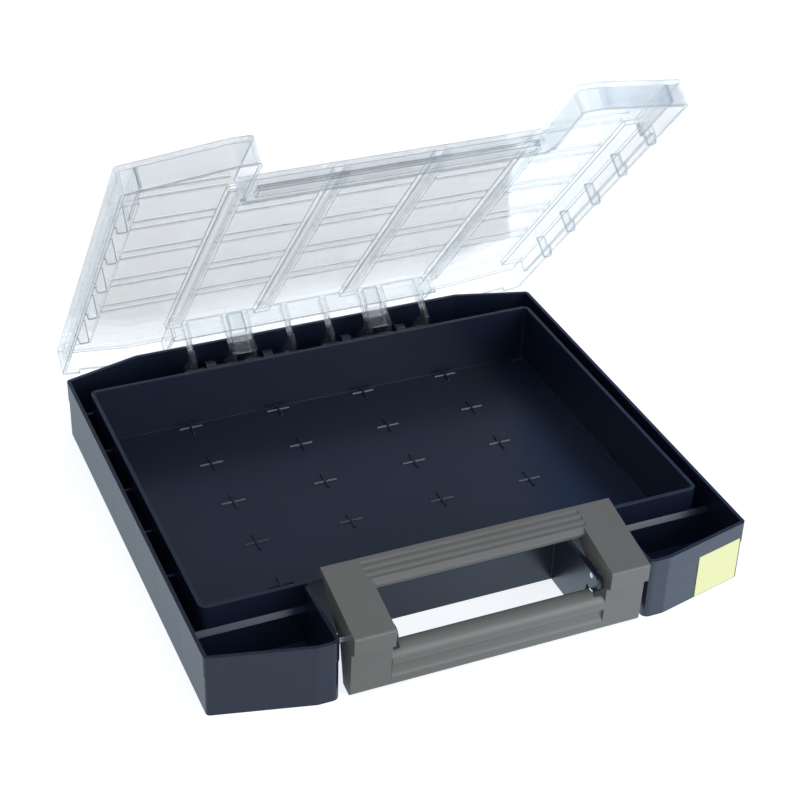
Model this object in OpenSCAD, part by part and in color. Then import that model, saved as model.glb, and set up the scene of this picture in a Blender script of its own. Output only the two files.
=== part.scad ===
// Flat carrying case for circular saw blades: a moulded case body with one
// open tray, a clear hinged lid and a pivoting frame handle that is also the
// latch. Millimetres, +Z up, the front with the handle faces -Y, and the
// origin is in the middle of the underside.
// The lid is drawn half open and the handle just unlocked.

/* [Case body] */
// Width over the two side walls
case_w = 298; // [292:1:304]
// Depth from the front noses to the back wall
case_d = 284; // [280:1:288]
// How far the front noses and the back wall stand out past the corners
bow = 12.5; // [10:0.5:14]
// Height of the outer walls
body_h = 36.5; // [35:0.5:38]
// Thickness of the moulded walls and floor
wall = 2; // [1.6:0.1:2.4]
// Half width of the opening for the handle in the front
recess_half = 84; // [82:0.5:86]

/* [Tray] */
// Width inside the tray
tray_w = 275.6; // [274:0.2:277]
// Depth inside the tray
tray_d = 203.3; // [202:0.1:204]
// Width of one insert box of the grid
cell_w = 55; // [54:0.5:55]
// Depth of one insert box of the grid
cell_d = 39.5; // [39:0.5:40]
// Length of one moulded cross on the floor
cross_len = 14; // [10:1:16]

/* [Lid] */
// Height of the closed lid's top above the ground
closed_h = 51.5; // [51:0.5:53]
// How far the lid is drawn open
lid_open = 49.5; // [0:0.5:100]
// Width of the hollow bands along the lid
band_w = 9.5; // [8:0.5:10]

/* [Hinge] */
// Height of the hinge axis
hinge_z = 24.5; // [24:0.5:25]
// Diameter of the two hinge rods
rod_d = 3; // [2.6:0.1:3.2]
// Middle of each hinge group, from the centre line
hinge_x = 43.5; // [43:0.5:44]

/* [Handle] */
// Width over the handle's two lugs
handle_w = 160.4; // [158:0.2:161]
// Width of one lug
lug_w = 21.8; // [21:0.1:22]
// How far the handle is drawn turned from its locked place
handle_open = 8; // [0:1:30]
// Diameter of the two handle pins
pin_d = 3; // [2.6:0.1:3.2]

/* [Label] */
// Length of the label along the front face
label_len = 29.5; // [20:0.5:32]
// Height of the label
label_h = 26; // [20:0.5:28]

/* [Hidden] */
$fn = 48;
arc_steps = 4;

// Plan of the case: corners are at +-half_w, +-corner_y
half_w = case_w / 2;
nose_y = -case_d / 2;
back_y = case_d / 2;
corner_y = case_d / 2 - bow;
nose_half = 96;
back_half = 104;
corner_r = 2.5;
break_r = 8;
nose_r = 4;

// Tray and the channels round it
tray_front = -93.3;
tray_back = tray_front + tray_d;
tray_half = tray_w / 2;
tray_r = 2;
tray_h = body_h + 1;
recess_y = tray_front - wall;
grid_back = tray_back - 3.2;
row_lines = [for (row = [0:4]) grid_back - row * cell_d];
front_row = row_lines[4] - cell_d;
column_lines = [for (column = [-1.5:1:1.5]) column * cell_w];
ledge_h = 20.9;
ledge_d = 2;
ledge_fall = 3.1;
step_z = 24;
step_in = 0.4;
moat_rib_h = 26;
rib_t = 1.5;

// Lid, in its closed place
plate_t = 2;
plate_z = closed_h - plate_t;
skirt_z = body_h + 0.5;
rear_skirt_z = body_h + 2.5;
rear_cut_half = 138;
lid_recess_half = recess_half - 1;
lid_recess_y = recess_y + 2;
centre_skirt_z = tray_h + 0.7;
lip_z = 39.6;
lip_t = 3;
lip_tip_y = -101.2;
lip_half = 76;
band_h = 3;
band_front = lid_recess_y + 5;
groove_wall = 1.8;
line_w = 1.8;
line_depth = 1;
line_from_row = [2.2, -7.2];
side_band_x = 132;
side_band_h = 2.5;
tab_top_x = 140.2;
tab_low_x = 141;
tab_low_z = 33.8;
corner_wall_x = 138.4;
corner_wall_z = 39.5;
side_ledge_z = 40.5;
side_ledge_d = 1.6;
pocket_wall_y = tray_back - 0.5;
pocket_end_z = 41;

// Hinge
hinge_y = 131.5;
arm_t = 3;
wide_arm_w = 15.5;
narrow_arm_dx = 31;
knuckle_dx = 18;
knuckle_w = 6;
eye_r = 4.5;
eye_gap = 0.08;
arm_front_y = tray_back + wall + 0.7;
rod_len = 69;

// Handle: its outline is drawn from the pivot, in the locked place
pivot_y = -135;
pivot_z = 32;
lug_in = handle_w / 2 - lug_w;
pivot_wall_x = 54.5;
pivot_wall_t = 2.5;
boss_r = 6;
pin_gap = 0.08;
handle_rear = [35.1, 14.8];
handle_bend = [-12.3, 11.3];
handle_low = [-13.2, 0.8];
handle_step = [-10.1, -1.4];
handle_foot = [-12.6, -29.1];
foot_r = 2;
bar_depth = 17.3;
bar_t = 3.7;
grip_depth = 11.5;
grip_half = 53.5;
skin_t = 4.6;
crown = [-5.2, -13.2];
crown_r = 6.4;
shell_t = 2.5;

// Label: measured along, up and out of the right front face
label_from = 2.4;
label_z = 0.6;
label_t = 0.3;
label_gap = 0.4;

// ---- plan outlines: corners are [x, y, radius], anticlockwise ----

function unit(v) = v / norm(v);
function xy(corner) = [corner.x, corner.y];
function left_of(v) = [-v.y, v.x];

// The arc that rounds corner b between a and c
function corner_arc(a, b, c, r) =
    let (
        u = unit(a - b), v = unit(c - b),
        half = acos(u * v) / 2,
        middle = b + unit(u + v) * (r / sin(half)),
        from = b + u * (r / tan(half)) - middle,
        to = b + v * (r / tan(half)) - middle,
        start = atan2(from.y, from.x),
        sweep = (atan2(to.y, to.x) - start + 540) % 360 - 180
    )
    [for (step = [0:arc_steps])
        let (turn = start + sweep * step / arc_steps)
        middle + r * [cos(turn), sin(turn)]];

function rounded(corners) =
    let (n = len(corners))
    [for (i = [0:n - 1])
        each (corners[i].z <= 0.05
            ? [xy(corners[i])]
            : corner_arc(xy(corners[(i + n - 1) % n]), xy(corners[i]),
                xy(corners[(i + 1) % n]), corners[i].z))];

// The same plan with every side moved in by d
function moved_in(corners, d) =
    let (n = len(corners))
    [for (i = [0:n - 1])
        let (
            before = unit(xy(corners[i]) - xy(corners[(i + n - 1) % n])),
            after = unit(xy(corners[(i + 1) % n]) - xy(corners[i])),
            sides = left_of(before) + left_of(after),
            place = xy(corners[i]) + sides * d / (1 + left_of(before) * left_of(after)),
            convex = before.x * after.y - before.y * after.x > 0
        )
        [place.x, place.y, convex ? max(corners[i].z - d, 0) : corners[i].z + d]];

function mirrored(corners) =
    [for (i = [len(corners) - 1:-1:0]) [-corners[i].x, corners[i].y, corners[i].z]];

// Case and lid share this plan and differ in their front opening
function case_plan(opening_half, opening_y, inner_r, outer_r) =
    let (right = [
        [opening_half, opening_y, inner_r],
        [opening_half, nose_y, outer_r],
        [nose_half, nose_y, break_r],
        [half_w, -corner_y, corner_r],
        [half_w, corner_y, corner_r],
        [back_half, back_y, break_r]
    ])
    concat(right, mirrored(right));

function box_plan(x0, x1, y0, y1, r) =
    [[x0, y0, r], [x1, y0, r], [x1, y1, r], [x0, y1, r]];

body_plan = case_plan(recess_half, recess_y, 0, nose_r);
lid_plan = case_plan(lid_recess_half, lid_recess_y, 3, nose_r);
tray_plan = box_plan(-tray_half, tray_half, tray_front, tray_back, tray_r);

module slab(corners, z0, z1) {
    translate([0, 0, z0])
        linear_extrude(z1 - z0)
            polygon(rounded(corners));
}

module block(x0, x1, y0, y1, z0, z1) {
    translate([x0, y0, z0])
        cube([x1 - x0, y1 - y0, z1 - z0]);
}

// A profile drawn in Y and Z, from x0 over a width w
module cross_plate(x0, w) {
    translate([x0, 0, 0])
        rotate([90, 0, 90])
            linear_extrude(w)
                children();
}

module cross_rod(x0, length, y, z, d) {
    translate([x0, y, z])
        rotate([0, 90, 0])
            cylinder(d = d, h = length);
}

module both_sides() {
    children();
    mirror([1, 0, 0])
        children();
}

// ---- case body ----

module case_body() {
    color("#1e2638")
        difference() {
            union() {
                outer_shell();
                tray_walls();
                floor_crosses();
                both_sides() {
                    front_ledge();
                    moat_ribs();
                    pivot_wall();
                    hinge_knuckle(hinge_x - knuckle_dx);
                    hinge_knuckle(hinge_x + knuckle_dx);
                }
            }
            both_sides() {
                cross_rod(pivot_wall_x - 1, recess_half + wall + 2 - pivot_wall_x,
                    pivot_y, pivot_z, pin_d);
                cross_rod(hinge_x - knuckle_dx - knuckle_w, 2 * knuckle_dx + 2 * knuckle_w,
                    hinge_y, hinge_z, rod_d);
            }
            underside_groove();
        }
}

// The lower part stands back a little, which leaves a faint line all round
module outer_shell() {
    difference() {
        union() {
            slab(moved_in(body_plan, step_in), 0, step_z);
            slab(body_plan, step_z, body_h);
        }
        on_right_front(label_from - label_gap, -1, -step_in)
            cube([label_len + 2 * label_gap, 2, label_z + label_h + label_gap + 1]);
        slab(moved_in(body_plan, wall), wall, body_h + 1);
    }
}

module tray_walls() {
    difference() {
        slab(moved_in(tray_plan, -wall), 0, tray_h);
        slab(tray_plan, wall, tray_h + 1);
    }
}

// Plus marks on the floor where the corners of four insert boxes meet. The arms
// along the width have sloping sides
module floor_crosses() {
    mark_w = 1.2;
    mark_h = 0.9;
    mark_top = 0.6;
    mark_foot = 1.9;
    at_wall = tray_half - 1.6;
    z0 = wall - 0.1;
    for (y = row_lines, x = concat(column_lines, [-at_wall, at_wall])) {
        reach = min(cross_len / 2, tray_half - abs(x) + 0.5);
        back_reach = min(cross_len / 2, tray_back - y + 0.5);
        left = x > 0 ? cross_len / 2 : reach;
        right = x > 0 ? reach : cross_len / 2;
        cross_plate(x - left, left + right)
            polygon([
                [y - mark_foot / 2, z0], [y + mark_foot / 2, z0],
                [y + mark_top / 2, wall + mark_h], [y - mark_top / 2, wall + mark_h]
            ]);
        block(x - mark_w / 2, x + mark_w / 2,
            y - cross_len / 2, y + back_reach, z0, wall + mark_h);
    }
}

// Thicker foot of the tray wall in each front pocket, with a sloping top
module front_ledge() {
    cross_plate(recess_half + 1, half_w - recess_half - 2)
        polygon([
            [recess_y + 0.1, wall - 0.1], [recess_y + 0.1, ledge_h + ledge_fall],
            [recess_y - ledge_d, ledge_h], [recess_y - ledge_d, wall - 0.1]
        ]);
}

// Webs between the tray and the side wall, on the grid's rows
module moat_ribs() {
    for (y = row_lines)
        block(tray_half + wall - 0.1, half_w - 1, y - rib_t / 2, y + rib_t / 2,
            wall - 0.1, moat_rib_h);
}

// Web beside the lug that carries the inner end of the handle pin
module pivot_wall() {
    nose = [-7, 2.5];
    cross_plate(pivot_wall_x, pivot_wall_t)
        translate([pivot_y, pivot_z])
            polygon(rounded([
                [nose.x, nose.y, 4], [nose.x, -4, 2], [-4.8, -7.2, 2], [0, -8.6, 4],
                [3.4, -7.5, 0], [8.8, -pivot_z, 0],
                [recess_y - pivot_y + 0.1, -pivot_z, 0],
                [recess_y - pivot_y + 0.1, nose.y, 0]
            ]));
}

// Upright in the rear channel that carries a hinge rod
module hinge_knuckle(x) {
    cross_plate(x - knuckle_w / 2, knuckle_w) {
        translate([hinge_y, hinge_z])
            circle(r = eye_r);
        translate([hinge_y - eye_r, wall - 0.1])
            square([2 * eye_r, hinge_z - wall]);
        translate([hinge_y, wall - 0.1])
            square([back_y - hinge_y - 1, hinge_z - wall - 4]);
    }
}

// Shallow groove in the underside, in line with the tray's floor
module underside_groove() {
    groove_w = 3;
    groove_depth = 0.6;
    outer = box_plan(-tray_half + 12, tray_half - 12, tray_front + 12, tray_back - 12, 12);
    difference() {
        slab(outer, -1, groove_depth);
        slab(moved_in(outer, groove_w), -2, groove_depth + 1);
    }
}

// ---- lid ----

module lid() {
    color([0.85, 0.9, 0.92, 0.5])
        translate([0, hinge_y, hinge_z])
            rotate([-lid_open, 0, 0])
                translate([0, -hinge_y, -hinge_z])
                    closed_lid();
}

module closed_lid() {
    difference() {
        union() {
            lid_shell();
            lid_bands();
            lid_lip();
            hinge_pocket();
            both_sides() {
                side_band();
                corner_wall();
                hinge_arm(hinge_x - narrow_arm_dx, arm_t);
                wide_hinge_arm();
                hinge_arm(hinge_x + narrow_arm_dx, arm_t);
            }
        }
        both_sides()
            cross_rod(hinge_x - rod_len / 2 - 1, rod_len + 2, hinge_y, hinge_z,
                rod_d + 2 * eye_gap);
        lid_grooves();
    }
}

module lid_shell() {
    difference() {
        slab(lid_plan, skirt_z, closed_h);
        slab(moved_in(lid_plan, wall), skirt_z - 1, plate_z);
        block(-rear_cut_half, rear_cut_half, corner_y - 1, back_y + 1, skirt_z - 1,
            rear_skirt_z);
        block(-lid_recess_half - 3, lid_recess_half + 3, lid_recess_y - 5,
            lid_recess_y + wall + 1, skirt_z - 1, centre_skirt_z);
    }
}

// Bands under the plate, over the walls between the insert boxes
module lid_bands() {
    for (x = column_lines)
        block(x - band_w / 2, x + band_w / 2, band_front, pocket_wall_y + 0.1,
            plate_z - band_h, plate_z + 0.1);
}

// Grooves in the lid's upper side: a deep one makes each band hollow, and two
// fine ones cross every cell at its row line
module lid_grooves() {
    half = band_w / 2 - groove_wall;
    for (x = column_lines)
        block(x - half, x + half, band_front + groove_wall, pocket_wall_y - 4,
            closed_h - band_h, closed_h + 1);
    for (y = line_from_row, row = [1:4], cell = [0:4])
        cell_line(cell, row_lines[row] + y);
    for (y = line_from_row, cell = [0, 4])
        cell_line(cell, front_row + y);
}

// Fine groove across one cell, up to y
module cell_line(cell, y) {
    edges = concat([-side_band_x - band_w / 2], column_lines, [side_band_x + band_w / 2]);
    block(edges[cell] + band_w / 2, edges[cell + 1] - band_w / 2, y - line_w, y,
        closed_h - line_depth, closed_h + 1);
}

// Lip on the front edge that the handle's rear bar catches
module lid_lip() {
    block(-lip_half, lip_half, lip_tip_y, lid_recess_y + 1, lip_z, lip_z + lip_t);
}

// Raised band along each side, with a wall that is thinner at its rim and a tab
// at every row that goes down beside the tray
module side_band() {
    wall_in = half_w - wall;
    band_z = plate_z - side_band_h;
    block(side_band_x, wall_in + 0.1, front_row, pocket_wall_y + 0.1, band_z, plate_z + 0.1);
    block(wall_in - side_ledge_d, wall_in + 0.1, front_row, pocket_wall_y, side_ledge_z,
        band_z + 0.1);
    for (y = concat([front_row], [for (row = [1:4]) row_lines[row]]))
        side_tab(y);
}

module side_tab(y) {
    wall_in = half_w - wall;
    tab_out = wall_in - 0.6;
    translate([0, y + rib_t / 2, 0])
        rotate([90, 0, 0])
            linear_extrude(rib_t)
                polygon(rounded([
                    [tab_top_x, plate_z + 0.1, 0], [tab_low_x, tab_low_z, 1],
                    [tab_out, tab_low_z, 1], [tab_out, skirt_z, 0],
                    [wall_in + 0.1, skirt_z, 0], [wall_in + 0.1, plate_z + 0.1, 0]
                ]));
}

// Wall that closes off the outer corner of each front ear
module corner_wall() {
    block(corner_wall_x, corner_wall_x + rib_t, -corner_y, front_row, corner_wall_z,
        plate_z + 0.1);
}

// Walls round the space for the hinge at the back
module hinge_pocket() {
    half = recess_half;
    block(-half, half, pocket_wall_y, pocket_wall_y + wall, skirt_z + 1.5, plate_z + 0.1);
    both_sides()
        block(half - wall, half, pocket_wall_y, back_y - 1, pocket_end_z, plate_z + 0.1);
}

// Hooked arm from the lid, round the edge of the back wall to the rod
module hinge_arm(x, w) {
    cross_plate(x - w / 2, w) {
        translate([hinge_y, hinge_z])
            circle(r = eye_r);
        polygon([
            [pocket_wall_y + 1, plate_z + 0.1],
            [pocket_wall_y + 1, skirt_z + 2],
            [arm_front_y, skirt_z],
            [arm_front_y, hinge_z],
            [arm_front_y + 4.5, hinge_z - eye_r],
            [hinge_y, hinge_z - eye_r],
            [hinge_y, hinge_z + eye_r],
            [arm_front_y + 6.3, hinge_z + 3.7],
            [arm_front_y + 3.4, hinge_z + 6],
            [arm_front_y + 3.4, plate_z + 0.1]
        ]);
    }
}

// Two arms with a thin web between them
module wide_hinge_arm() {
    side = (wide_arm_w - arm_t) / 2;
    hinge_arm(hinge_x - side, arm_t);
    hinge_arm(hinge_x + side, arm_t);
    block(hinge_x - side, hinge_x + side, arm_front_y, arm_front_y + 1.6,
        hinge_z, plate_z + 0.1);
}

// ---- hinge rods ----

module hinge_rod(side) {
    color("silver")
        cross_rod(side * hinge_x - rod_len / 2, rod_len, hinge_y, hinge_z, rod_d);
}

// ---- handle ----

module handle() {
    color("#6f706d")
        translate([0, pivot_y, pivot_z])
            rotate([handle_open, 0, 0])
                difference() {
                    union() {
                        both_sides()
                            handle_lug();
                        rear_bar();
                        grip_bar();
                    }
                    both_sides()
                        cross_rod(lug_in - 1, lug_w + 2, 0, 0, pin_d + 2 * pin_gap);
                    bar_flutes();
                    grip_groove();
                }
}

function top_at(y) =
    handle_rear.y + (y - handle_rear.x) * (handle_rear.y - handle_bend.y)
    / (handle_rear.x - handle_bend.x);

// Hollow from behind, with a solid boss on the pin
module handle_lug() {
    under_rear = handle_rear - [0, bar_t];
    difference() {
        cross_plate(lug_in, lug_w)
            polygon(rounded([
                [handle_rear.x, handle_rear.y, 0], [handle_bend.x, handle_bend.y, 1.5],
                [handle_low.x, handle_low.y, 0.5], [handle_step.x, handle_step.y, 0.5],
                [handle_foot.x, handle_foot.y, foot_r], [-3.6, handle_foot.y, 1],
                [4, -8, 2], [14, -1, 2], [31, under_rear.y - 0.4, 0],
                [under_rear.x, under_rear.y, 0]
            ]));
        cross_plate(lug_in + shell_t, lug_w - 2 * shell_t)
            polygon([
                [28, top_at(28) - shell_t - 1], [-8.8, top_at(-8.8) - shell_t - 1],
                [-9.6, 1.5], [-7, -2], [-9.4, -26.5], [6, -26], [30, 6]
            ]);
    }
    cross_rod(lug_in, lug_w, 0, 0, 2 * boss_r);
    cross_plate(lug_in, lug_w)
        polygon([[-10, -1.6], [0, -1.6], [0, 1.6], [-10, 1.6]]);
}

// Rear bar: it turns down over the lid's lip and locks it. Its front edge slopes
module rear_bar() {
    edge_d = 3;
    edge_fall = 1.6;
    front = handle_rear.x - bar_depth;
    cross_plate(-lug_in - 0.1, 2 * lug_in + 0.2)
        polygon([
            handle_rear, [front + edge_d, top_at(front + edge_d)],
            [front, top_at(front) - edge_fall],
            [front, top_at(front) - bar_t], handle_rear - [0, bar_t]
        ]);
}

module bar_flutes() {
    flute_r = 2.3;
    flute_depth = 0.5;
    flute_half = lug_in + 2;
    for (from_rear = [4.2, 8.4, 12.6]) {
        y = handle_rear.x - from_rear;
        cross_rod(-flute_half, 2 * flute_half, y, top_at(y) + flute_r - flute_depth, 2 * flute_r);
    }
}

// Front bar for the fingers: a round crown over a ribbed channel. Beside each
// pivot wall only its front skin goes on to the lug, so that the wall clears it
module grip_bar() {
    bays = 4;
    bay_w = 2 * grip_half / bays;
    cross_plate(-lug_in - 0.1, 2 * lug_in + 0.2)
        intersection() {
            grip_section();
            translate(handle_foot - [1, 1])
                square([skin_t + 1, 40]);
        }
    difference() {
        cross_plate(-grip_half, 2 * grip_half)
            grip_section();
        for (bay = [0:bays - 1])
            cross_plate(-grip_half + bay * bay_w + 1, bay_w - 2)
                translate(handle_foot + [3.4, -1])
                    square([grip_depth, 14]);
    }
}

module grip_section() {
    translate(crown)
        circle(r = crown_r);
    polygon(rounded([
        [handle_foot.x, handle_foot.y, foot_r],
        [handle_foot.x + grip_depth, handle_foot.y, 1],
        [crown.x + crown_r - 0.2, crown.y, 0],
        [crown.x - crown_r + 0.2, crown.y, 0]
    ]));
}

// Soft hollow between the crown and the flat face under it
module grip_groove() {
    groove_r = 7;
    groove_depth = 1;
    face_y = -11.4;
    cross_rod(-lug_in, 2 * lug_in, face_y - groove_r + groove_depth, -18.4, 2 * groove_r);
}

module handle_pin(side) {
    length = recess_half + wall - pivot_wall_x;
    color("silver")
        cross_rod(side > 0 ? pivot_wall_x : -pivot_wall_x - length, length,
            pivot_y, pivot_z, pin_d);
}

// ---- label ----

// Bare label in a shallow panel on the right front face
module front_label() {
    color("#eaf4bc")
        on_right_front(label_from, label_z, -step_in)
            cube([label_len, label_t, label_h]);
}

// Along the right front face from its outer corner, up it and out of it
module on_right_front(along, up, out) {
    translate([half_w, -corner_y, up])
        rotate([0, 0, 180 + atan2(bow, half_w - nose_half)])
            translate([along, out, 0])
                children();
}

case_body();
lid();
handle();
handle_pin(-1);  // handle_pin_left
handle_pin(1);  // handle_pin_right
hinge_rod(-1);  // hinge_rod_left
hinge_rod(1);  // hinge_rod_right
front_label();
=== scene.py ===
# Saw blade storage case: finishes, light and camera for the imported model
import math

import bpy
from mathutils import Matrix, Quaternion, Vector


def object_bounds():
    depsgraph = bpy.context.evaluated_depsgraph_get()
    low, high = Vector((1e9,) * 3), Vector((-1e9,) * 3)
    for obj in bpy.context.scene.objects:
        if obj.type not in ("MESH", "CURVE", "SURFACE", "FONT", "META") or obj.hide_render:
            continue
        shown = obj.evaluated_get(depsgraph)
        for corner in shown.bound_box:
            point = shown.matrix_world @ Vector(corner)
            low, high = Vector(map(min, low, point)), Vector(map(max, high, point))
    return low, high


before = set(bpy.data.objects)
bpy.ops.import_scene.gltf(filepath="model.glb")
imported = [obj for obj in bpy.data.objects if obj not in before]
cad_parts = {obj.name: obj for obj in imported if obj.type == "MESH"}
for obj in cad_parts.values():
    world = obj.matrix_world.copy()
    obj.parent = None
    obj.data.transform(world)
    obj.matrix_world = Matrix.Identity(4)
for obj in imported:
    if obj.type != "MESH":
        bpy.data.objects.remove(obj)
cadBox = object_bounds()
scene = bpy.context.scene
mm = 0.001               # the scene is in metres


def linearColour(hexText):
    channels = [int(hexText[i:i + 2], 16) / 255 for i in (1, 3, 5)]
    return [c / 12.92 if c <= 0.04045 else ((c + 0.055) / 1.055) ** 2.4 for c in channels] + [1.0]


def perMetre(sizeMm):
    # a texture scale that gives marks of this size in object space
    return 1 / (sizeMm * mm)


def addNode(owner, kind, settings=None, links=None):
    # settings are the node's own options or input values, links are outputs of earlier nodes.
    # A Mix node's inputs go by number: 0 is its factor, 2 and 3 its numbers, 6 and 7 its colours
    node = owner.node_tree.nodes.new(kind)
    for key, value in (settings or {}).items():
        if hasattr(node, str(key)):
            setattr(node, key, value)
        else:
            node.inputs[key].default_value = value
    for key, output in (links or {}).items():
        owner.node_tree.links.new(output, node.inputs[key])
    return node


def newMaterial(name):
    material = bpy.data.materials.new(name)
    material.use_nodes = True
    material.node_tree.nodes.clear()
    return material


def finishWith(material, shader):
    addNode(material, "ShaderNodeOutputMaterial", links={"Surface": shader.outputs[0]})
    return material


def dress(nodeName, material):
    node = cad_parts[nodeName]
    node.data.materials.clear()
    node.data.materials.append(material)


def noiseMarks(material, place, sizeMm, detail=2.0, roughness=0.5):
    return addNode(material, "ShaderNodeTexNoise",
                   {"Scale": perMetre(sizeMm), "Detail": detail, "Roughness": roughness},
                   {"Vector": place.outputs["Object"]})


def twoShades(material, marks, look):
    return addNode(material, "ShaderNodeMix",
                   {"data_type": "RGBA", 6: linearColour(look["colour"]),
                    7: linearColour(look["shade"])},
                   {0: marks.outputs["Fac"]})


def mouldedColour(material, place, look):
    # two close shades in broad patches, as pigment settles in a moulding
    return twoShades(material, noiseMarks(material, place, look["patchMm"]), look)


def mouldedGrain(material, place, look):
    # the uneven grain that a spark-eroded tool leaves
    return noiseMarks(material, place, look["grainMm"], detail=3.0, roughness=0.6)


def roundedEdges(material, radiusMm, samples=6):
    # a moulding's edges are never knife sharp, and the small round catches the light
    return addNode(material, "ShaderNodeBevel", {"samples": samples, "Radius": radiusMm * mm})


def raised(material, height, depthMm, strength=0.3, over=None):
    # the surface lifted by the height, on top of the normals of the node that it lies over
    links = {"Height": height}
    if over is not None:
        links["Normal"] = over.outputs["Normal"]
    return addNode(material, "ShaderNodeBump", {"Strength": strength, "Distance": depthMm * mm},
                   links)


def unevenGloss(material, marks, look):
    # roughness that wanders with the marks, around the look's own value
    half = look["roughnessSpread"] / 2
    return addNode(material, "ShaderNodeMapRange",
                   {"To Min": look["roughness"] - half, "To Max": look["roughness"] + half},
                   {"Value": marks.outputs["Fac"]})


# Case body: polypropylene, injection moulded in a finely spark-eroded tool
caseLook = {
    "colour": "#192135",
    "shade": "#161D2F",
    "ior": 1.49,
    "roughness": 0.3,
    "roughnessSpread": 0.08,
    "edgeMm": 0.4,
    "grainMm": 0.7,          # real grain is about 0.2 mm, drawn coarser so that it shows
    "grainDepthMm": 0.006,
    "patchMm": 60,
    "sinkPitchMm": 39.5,     # sink marks over the webs behind the side walls
    "sinkFromMm": 106.8,     # the rearmost one, behind the middle
    "sinkHalfWidthMm": 5,
    "sinkDepthMm": 0.05,
    "sideWallMm": 147.5,     # only what lies further out than this is side wall
}


def sinkMarks(material, place, look):
    # height of the side walls' shallow sinks, 0 in a sink and 1 between them
    axes = addNode(material, "ShaderNodeSeparateXYZ", links={0: place.outputs["Object"]})
    shifted = addNode(material, "ShaderNodeMath",
                      {"operation": "SUBTRACT", 1: look["sinkFromMm"] * mm},
                      {0: axes.outputs["Y"]})
    nearest = addNode(material, "ShaderNodeMath",
                      {"operation": "PINGPONG", 1: look["sinkPitchMm"] / 2 * mm},
                      {0: shifted.outputs[0]})
    height = addNode(material, "ShaderNodeMapRange",
                     {"interpolation_type": "SMOOTHSTEP",
                      "From Max": look["sinkHalfWidthMm"] * mm},
                     {"Value": nearest.outputs[0]})
    outwards = addNode(material, "ShaderNodeMath", {"operation": "ABSOLUTE"},
                       {0: axes.outputs["X"]})
    inside = addNode(material, "ShaderNodeMath",
                     {"operation": "LESS_THAN", 1: look["sideWallMm"] * mm},
                     {0: outwards.outputs[0]})
    return addNode(material, "ShaderNodeMath", {"operation": "MAXIMUM"},
                   {0: height.outputs[0], 1: inside.outputs[0]})


def casePolypropylene():
    # polypropylene off a fine grain: deep navy, dull looked at square on, and a broad
    # pale sheen where a wall is seen at a low angle
    look = caseLook
    material = newMaterial("navy polypropylene")
    place = addNode(material, "ShaderNodeTexCoord")
    colour = mouldedColour(material, place, look)
    grain = mouldedGrain(material, place, look)
    edges = roundedEdges(material, look["edgeMm"])
    sinks = sinkMarks(material, place, look)
    walls = raised(material, sinks.outputs[0], look["sinkDepthMm"], strength=1.0, over=edges)
    skin = raised(material, grain.outputs["Fac"], look["grainDepthMm"], over=walls)
    gloss = unevenGloss(material, grain, look)
    shader = addNode(material, "ShaderNodeBsdfPrincipled", {"IOR": look["ior"]},
                     {"Base Color": colour.outputs[2], "Roughness": gloss.outputs[0],
                      "Normal": skin.outputs[0]})
    return finishWith(material, shader)


# Lid: clear polycarbonate, injection moulded in a polished tool
lidLook = {
    "tint": "#E8EEF0",
    # painted shade: the grey that the edges turn to, where the light is led away
    "paintedEdgeShade": "#3A4448",
    "ior": 1.585,
    "roughness": 0.06,
    "haze": 0.06,
    "edgeMm": 0.5,
    "edgeShadeMm": 0.9,      # how far the painted shade of an edge reaches
    "shadeFrom": 0.995,      # cosine of the rounded edge's lean at which the painted shade begins
    "shadeFull": 0.88,       # and at which it is full
    "waveMm": 25,
    "waveDepthMm": 0.012,
    "straightThrough": 0.56,  # share of the light that isn't bent, on the flats
    "straightAtEdges": 0.03,
}


def nearEdges(material, look):
    # 0 on the flats and 1 at the edges, from the lean of a rounded edge's normal
    surface = addNode(material, "ShaderNodeNewGeometry")
    edges = roundedEdges(material, look["edgeShadeMm"], samples=8)
    lean = addNode(material, "ShaderNodeVectorMath", {"operation": "DOT_PRODUCT"},
                   {0: edges.outputs[0], 1: surface.outputs["Normal"]})
    return addNode(material, "ShaderNodeMapRange",
                   {"From Min": look["shadeFrom"], "From Max": look["shadeFull"]},
                   {"Value": lean.outputs["Value"]})


def clearPolycarbonate():
    # polycarbonate of 2 mm: nearly colourless, with a faint haze and faint flow waves, and
    # painted shade in thin grey lines along its edges. Much of the light goes straight through,
    # as it does in a thin wall, but hardly any at the edges, where it is led away sideways
    look = lidLook
    material = newMaterial("clear polycarbonate")
    place = addNode(material, "ShaderNodeTexCoord")
    edges = roundedEdges(material, look["edgeMm"])
    waves = noiseMarks(material, place, look["waveMm"])
    flow = raised(material, waves.outputs["Fac"], look["waveDepthMm"], strength=0.5, over=edges)
    atEdge = nearEdges(material, look)
    # the lid's own tint, turning to painted shade at the edges
    tint = addNode(material, "ShaderNodeMix",
                   {"data_type": "RGBA", 6: linearColour(look["tint"]),
                    7: linearColour(look["paintedEdgeShade"])},
                   {0: atEdge.outputs[0]})
    straight = addNode(material, "ShaderNodeMapRange",
                       {"To Min": look["straightThrough"], "To Max": look["straightAtEdges"]},
                       {"Value": atEdge.outputs[0]})
    glass = addNode(material, "ShaderNodeBsdfPrincipled",
                    {"Roughness": look["roughness"], "IOR": look["ior"],
                     "Transmission Weight": 1 - look["haze"]},
                    {"Base Color": tint.outputs[2], "Normal": flow.outputs[0]})
    through = addNode(material, "ShaderNodeBsdfTransparent")
    shader = addNode(material, "ShaderNodeMixShader", {},
                     {0: straight.outputs[0], 1: glass.outputs[0], 2: through.outputs[0]})
    return finishWith(material, shader)


# Handle: polypropylene in warm grey, moulded like the case
handleLook = {
    "colour": "#6A6A66",
    "shade": "#656561",
    "ior": 1.49,
    "roughness": 0.42,
    "edgeMm": 0.6,
    "grainMm": 0.7,          # as on the case
    "grainDepthMm": 0.008,
    "patchMm": 40,
}


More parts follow.
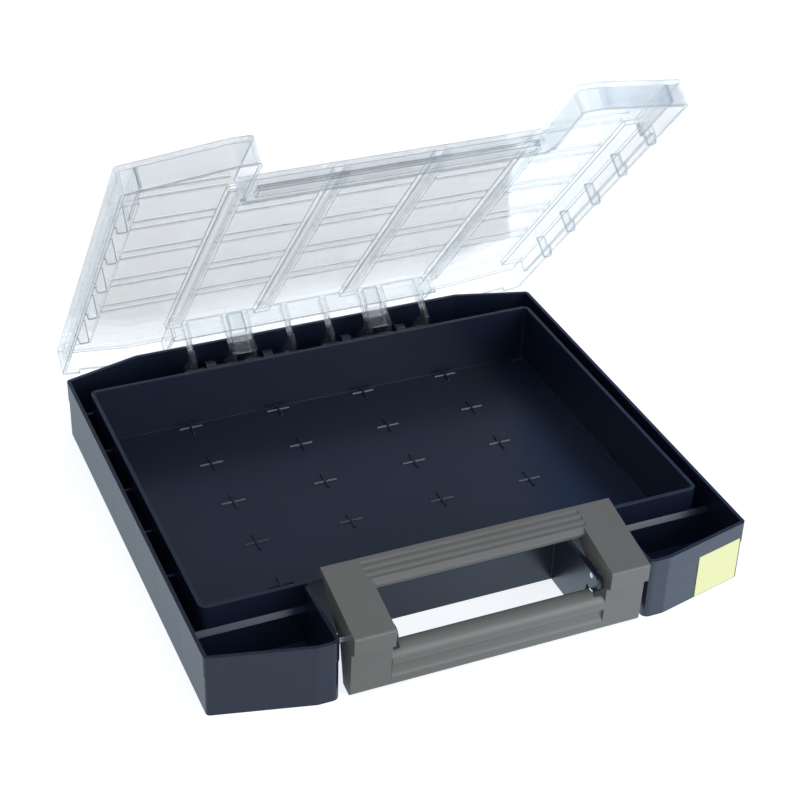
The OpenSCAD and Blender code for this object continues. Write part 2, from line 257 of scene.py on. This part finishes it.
def handlePolypropylene():
    # polypropylene off a fine grain: an even warm grey with a soft sheen on the crown
    look = handleLook
    material = newMaterial("grey polypropylene")
    place = addNode(material, "ShaderNodeTexCoord")
    colour = mouldedColour(material, place, look)
    grain = mouldedGrain(material, place, look)
    edges = roundedEdges(material, look["edgeMm"])
    skin = raised(material, grain.outputs["Fac"], look["grainDepthMm"], over=edges)
    shader = addNode(material, "ShaderNodeBsdfPrincipled",
                     {"Roughness": look["roughness"], "IOR": look["ior"]},
                     {"Base Color": colour.outputs[2], "Normal": skin.outputs[0]})
    return finishWith(material, shader)


# Rods and pins: steel wire, drawn
steelLook = {
    "bright": "#C9CBCC",
    # the rods' colour, kept dark
    "darkened": "#3A3C40",
    "metallic": 1.0,
    "roughness": 0.26,
    "roughnessSpread": 0.1,
    "drawMarkMm": 0.3,
    "drawLengthMm": 12,
}


def drawnSteel(name, colour):
    # drawn steel wire: the pins are left bright and the rods are coloured dark, and both have
    # faint streaks along their length
    look = steelLook
    material = newMaterial(name)
    place = addNode(material, "ShaderNodeTexCoord")
    along = perMetre(look["drawLengthMm"])
    across = perMetre(look["drawMarkMm"])
    stretched = addNode(material, "ShaderNodeMapping", {"Scale": (along, across, across)},
                        {"Vector": place.outputs["Object"]})
    marks = addNode(material, "ShaderNodeTexNoise", {"Scale": 1.0, "Detail": 2.0},
                    {"Vector": stretched.outputs[0]})
    gloss = unevenGloss(material, marks, look)
    shader = addNode(material, "ShaderNodeBsdfPrincipled",
                     {"Base Color": linearColour(colour), "Metallic": look["metallic"]},
                     {"Roughness": gloss.outputs[0]})
    return finishWith(material, shader)


# Label: coated paper, bare
labelLook = {
    "colour": "#F1F3B9",
    "shade": "#EBEDB3",
    "roughness": 0.5,
    "fibreMm": 1.5,
    "fibreDepthMm": 0.01,
}


def labelPaper():
    # coated paper: pale lime and matt, with fibres that only just show
    look = labelLook
    material = newMaterial("lime label paper")
    place = addNode(material, "ShaderNodeTexCoord")
    fibres = noiseMarks(material, place, look["fibreMm"], detail=4.0)
    colour = twoShades(material, fibres, look)
    skin = raised(material, fibres.outputs["Fac"], look["fibreDepthMm"])
    shader = addNode(material, "ShaderNodeBsdfPrincipled", {"Roughness": look["roughness"]},
                     {"Base Color": colour.outputs[2], "Normal": skin.outputs[0]})
    return finishWith(material, shader)


dress("case_body", casePolypropylene())
dress("lid", clearPolycarbonate())
dress("handle", handlePolypropylene())
brightSteel = drawnSteel("bright drawn steel", steelLook["bright"])
darkSteel = drawnSteel("blackened drawn steel", steelLook["darkened"])
for side in ("left", "right"):
    dress("handle_pin_" + side, brightSteel)
    dress("hinge_rod_" + side, darkSteel)
dress("front_label", labelPaper())
print("finishes: done")


# Studio: a white floor that runs into a white background. How brightly the floor glows and the
# world shines depends on whether it is looked at, mirrored, or seen through the lid
floorLook = {
    "size": 8.0,             # metres
    "belowMm": 0.2,          # just clear of the case's underside
    "colour": "#B8B8B8",
    "glow": 0.84,            # looked at, so that the floor reads as white
    "throughGlow": 1.0,      # seen through the lid
    "leftGlow": 0.66,        # mirrored, to the left of the case
    "rightGlow": 1.55,       # mirrored, to the right, where the front softbox stands
    "fadeMm": 220,           # width over which left turns into right
    "glowColour": "#F8FBFF",
    "mirrorColour": "#D8EDFF",
}


def mirroredOnly(owner, rays):
    # 1 for a mirrored ray. A ray that the lid has blurred counts as glossy as well, so those
    # are taken off
    return addNode(owner, "ShaderNodeMath", {"operation": "SUBTRACT", "use_clamp": True},
                   {0: rays.outputs["Is Glossy Ray"], 1: rays.outputs["Is Transmission Ray"]})


def floorPaper():
    look = floorLook
    material = newMaterial("white paper floor")
    rays = addNode(material, "ShaderNodeLightPath")
    mirrored = mirroredOnly(material, rays)
    place = addNode(material, "ShaderNodeTexCoord")
    axes = addNode(material, "ShaderNodeSeparateXYZ", links={0: place.outputs["Object"]})
    halfFade = look["fadeMm"] / 2 * mm
    leftToRight = addNode(material, "ShaderNodeMapRange",
                          {"interpolation_type": "SMOOTHSTEP",
                           "From Min": -halfFade, "From Max": halfFade,
                           "To Min": look["leftGlow"], "To Max": look["rightGlow"]},
                          {"Value": axes.outputs["X"]})
    bounced = addNode(material, "ShaderNodeMath", {"operation": "MULTIPLY"},
                      {0: mirrored.outputs[0], 1: leftToRight.outputs[0]})
    through = addNode(material, "ShaderNodeMix", {3: look["throughGlow"]},
                      {0: rays.outputs["Is Transmission Ray"], 2: bounced.outputs[0]})
    glow = addNode(material, "ShaderNodeMix", {3: look["glow"]},
                   {0: rays.outputs["Is Camera Ray"], 2: through.outputs[0]})
    tint = addNode(material, "ShaderNodeMix",
                   {"data_type": "RGBA", 6: linearColour(look["glowColour"]),
                    7: linearColour(look["mirrorColour"])},
                   {0: mirrored.outputs[0]})
    light = addNode(material, "ShaderNodeEmission", {},
                    {"Color": tint.outputs[2], "Strength": glow.outputs[0]})
    paper = addNode(material, "ShaderNodeBsdfDiffuse", {"Color": linearColour(look["colour"])})
    shader = addNode(material, "ShaderNodeAddShader", {},
                     {0: paper.outputs[0], 1: light.outputs[0]})
    return finishWith(material, shader)


def buildFloor():
    look = floorLook
    half = look["size"] / 2
    corners = [(-half, -half, 0), (half, -half, 0), (half, half, 0), (-half, half, 0)]
    mesh = bpy.data.meshes.new("floor")
    mesh.from_pydata(corners, [], [(0, 1, 2, 3)])
    mesh.materials.append(floorPaper())
    floor = bpy.data.objects.new("floor", mesh)
    floor.location.z = cadBox[0][2] - look["belowMm"] * mm
    scene.collection.objects.link(floor)


# heights are sines: 0 at the horizon and 1 straight above
worldLook = {
    "light": 0.36,           # on everything, evenly
    "low": 1.0,              # mirrored or through the lid, near the horizon
    "mirrored": {"high": 0.5, "lowTo": 0.3, "highFrom": 0.95},
    "through": {"high": 0.2, "lowTo": 0.1, "highFrom": 0.75},
    "topColour": "#7FA3E4",  # of the ceiling, where it is mirrored
    "topColourFrom": 0.5,
}


def skyStrength(world, height, change):
    # white near the horizon and duller above, where the studio is dark
    return addNode(world, "ShaderNodeMapRange",
                   {"interpolation_type": "SMOOTHSTEP",
                    "From Min": change["lowTo"], "From Max": change["highFrom"],
                    "To Min": worldLook["low"], "To Max": change["high"]},
                   {"Value": height})


def buildWorld():
    look = worldLook
    world = bpy.data.worlds.new("studio")
    scene.world = world
    world.use_nodes = True
    world.node_tree.nodes.clear()
    rays = addNode(world, "ShaderNodeLightPath")
    mirrored = mirroredOnly(world, rays)
    place = addNode(world, "ShaderNodeTexCoord")
    axes = addNode(world, "ShaderNodeSeparateXYZ", links={0: place.outputs["Generated"]})
    height = axes.outputs["Z"]
    bounced = addNode(world, "ShaderNodeMix", {2: look["light"]},
                      {0: mirrored.outputs[0],
                       3: skyStrength(world, height, look["mirrored"]).outputs[0]})
    through = addNode(world, "ShaderNodeMix", {},
                      {0: rays.outputs["Is Transmission Ray"], 2: bounced.outputs[0],
                       3: skyStrength(world, height, look["through"]).outputs[0]})
    strength = addNode(world, "ShaderNodeMix", {3: 1.0},
                       {0: rays.outputs["Is Camera Ray"], 2: through.outputs[0]})
    white = linearColour("#FFFFFF")
    upwards = addNode(world, "ShaderNodeMapRange", {"From Max": look["topColourFrom"]},
                      {"Value": height})
    ceiling = addNode(world, "ShaderNodeMix",
                      {"data_type": "RGBA", 6: white, 7: linearColour(look["topColour"])},
                      {0: upwards.outputs[0]})
    tint = addNode(world, "ShaderNodeMix", {"data_type": "RGBA", 6: white},
                   {0: mirrored.outputs[0], 7: ceiling.outputs[2]})
    back = addNode(world, "ShaderNodeBackground", {},
                   {"Color": tint.outputs[2], "Strength": strength.outputs[0]})
    addNode(world, "ShaderNodeOutputWorld", links={"Surface": back.outputs[0]})


# places and sizes in metres, power in watts
lamps = {
    "front softbox": {"place": (1.0, -1.7, 0.7), "size": 1.4, "power": 28},
    "overhead softbox": {"place": (-0.2, -0.5, 1.5), "size": 0.9, "power": 6},
}
lampColour = "#F8FBFF"       # slightly cool daylight


def buildLamps():
    for name, lamp in lamps.items():
        light = bpy.data.lights.new(name, "AREA")
        light.size = lamp["size"]
        light.energy = lamp["power"]
        light.color = linearColour(lampColour)[:3]
        holder = bpy.data.objects.new(name, light)
        holder.location = lamp["place"]
        holder.visible_transmission = False   # the lid's ribs would flash white
        towards = -Vector(lamp["place"])
        holder.rotation_euler = towards.to_track_quat("-Z", "Y").to_euler()
        scene.collection.objects.link(holder)


buildFloor()
buildWorld()
buildLamps()
print("studio: done")


# Camera: solved from the case's rims and the crosses on its floor, places in metres
cameraView = {
    "place": (-0.3296, -0.7542, 0.6084),
    "target": (0.0312, 0.0583, 0.025),
    "rollDegrees": -1.79,
    "lensMm": 81.59,
    "filmMm": 36.0,
}


def buildCamera():
    view = cameraView
    lens = bpy.data.cameras.new("camera")
    lens.lens = view["lensMm"]
    lens.sensor_width = view["filmMm"]
    lens.sensor_fit = "HORIZONTAL"
    holder = bpy.data.objects.new("camera", lens)
    holder.location = view["place"]
    towards = Vector(view["target"]) - holder.location
    aim = towards.to_track_quat("-Z", "Y")
    roll = Quaternion(towards, math.radians(view["rollDegrees"]))
    holder.rotation_mode = "QUATERNION"
    holder.rotation_quaternion = roll @ aim
    scene.collection.objects.link(holder)
    scene.camera = holder


buildCamera()
scene.view_settings.view_transform = "Standard"
print("camera: done")
